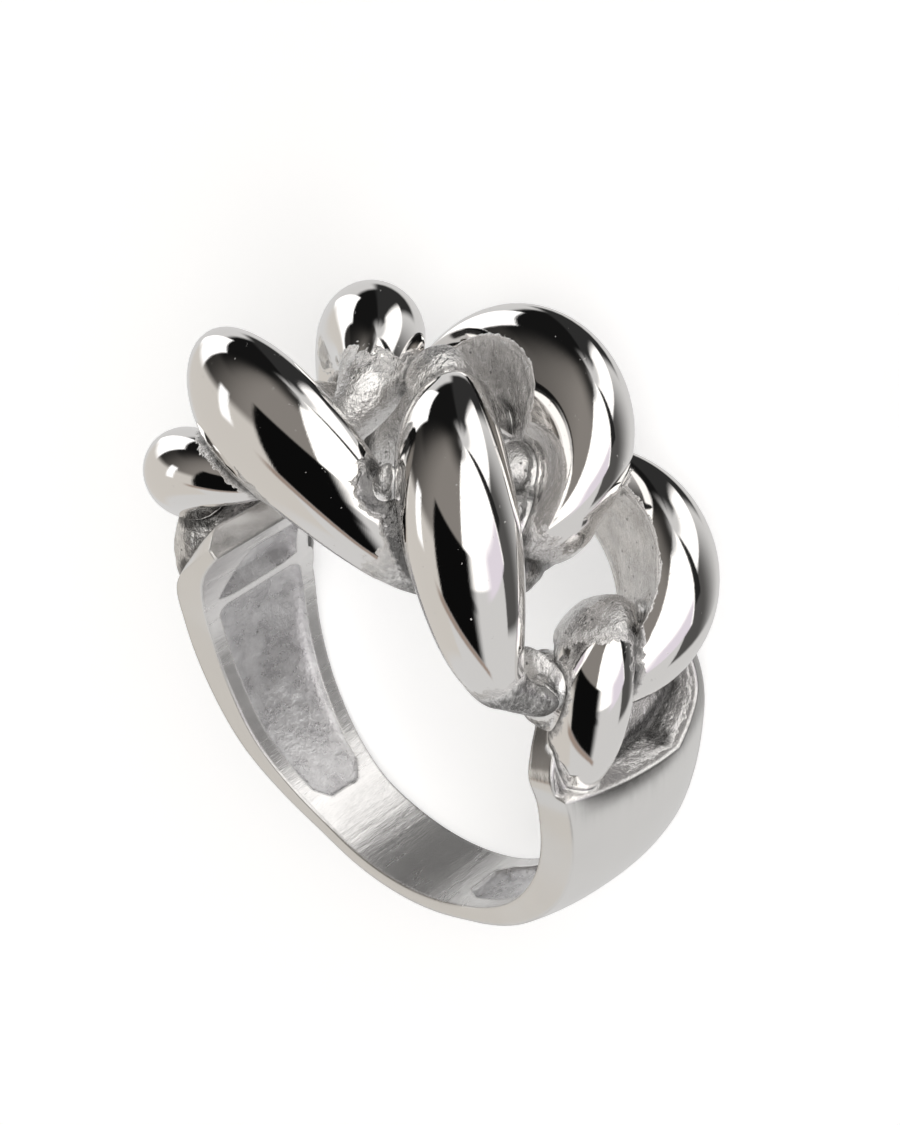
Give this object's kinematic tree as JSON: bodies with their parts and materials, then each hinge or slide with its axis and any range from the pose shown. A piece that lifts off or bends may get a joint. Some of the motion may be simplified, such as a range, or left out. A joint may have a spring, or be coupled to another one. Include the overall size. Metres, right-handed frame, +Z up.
{
  "type": "chain link finger ring",
  "caption": "Cast silver finger ring: a plain band widens into two shoulders that hold a run of fused, polished curb chain links.",
  "frame": {"origin": "middle of the underside of the box round the ring, lying on its side", "axes": "+Z up from the surface it lies on; +Y from the band's lowest point towards the chain; +X along the chain"},
  "size_m": [0.0264, 0.029, 0.013],
  "materials": {
    "silver": "mirror polish outside, satin inside, rough casting in the recesses"
  },
  "bodies": {
    "root": {"chain_link_ring": "silver"}
  },
  "joints": []
}
